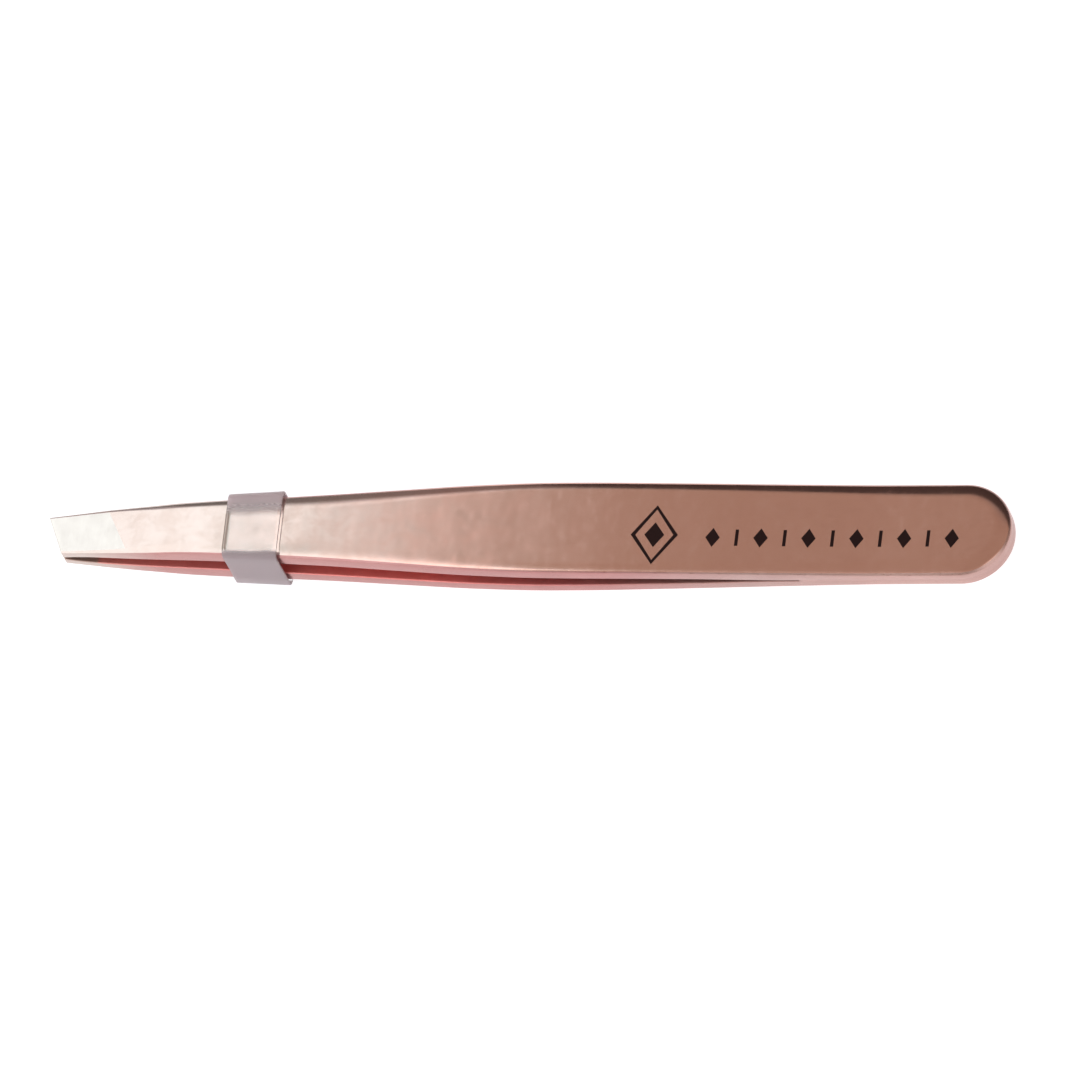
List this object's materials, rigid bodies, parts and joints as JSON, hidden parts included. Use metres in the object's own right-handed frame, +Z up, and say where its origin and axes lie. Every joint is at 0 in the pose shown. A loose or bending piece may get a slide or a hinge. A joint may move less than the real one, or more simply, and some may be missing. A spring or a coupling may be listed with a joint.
{
  "type": "slant tweezers",
  "caption": "Slim spring tweezers with round butt, bowed arms and slanted bevelled tips held shut by a clear slide-off sleeve.",
  "frame": {"origin": "middle of the length and width, level with the underside of the sleeve", "axes": "+X from the tips to the butt, +Y across the arms towards the point of the slanted tips, +Z up through the stacked arms"},
  "size_m": [0.095, 0.0096, 0.0068],
  "materials": {
    "rose_gold_plate": "polished rose-gold plate over stainless steel",
    "weld_metal": "plated weld metal, satin",
    "clear_sleeve": "clear soft plastic, slightly milky at the folds",
    "print_ink": "black-brown pad-printed ink"
  },
  "bodies": {
    "butt": {"upper_arm_butt": "rose_gold_plate", "lower_arm_butt": "rose_gold_plate", "butt_weld": "weld_metal"},
    "upper_arm": {"upper_arm": "rose_gold_plate"},
    "lower_arm": {"lower_arm": "rose_gold_plate"},
    "sleeve": {"tip_sleeve": "clear_sleeve"}
  },
  "joints": [
    {"name": "upper_arm_flex", "type": "hinge", "parent": "butt", "child": "upper_arm", "pos_m": [0.0175, 0, 0.00457], "axis": [0, 1, 0], "range_deg": [0, 2.5]},
    {"name": "lower_arm_flex", "type": "hinge", "parent": "butt", "child": "lower_arm", "pos_m": [0.0175, 0, 0.00219], "axis": [0, -1, 0], "range_deg": [0, 2.5]},
    {"name": "sleeve_slide", "type": "slide", "parent": "butt", "child": "sleeve", "axis": [-1, 0, 0], "range_m": [0, 0.06]}
  ],
  "couplings": [
    {"joint": "lower_arm_flex", "follows": "upper_arm_flex", "ratio": 1},
    {"joint": "sleeve_slide", "follows": "upper_arm_flex", "m_per_rad": 1.375}
  ]
}
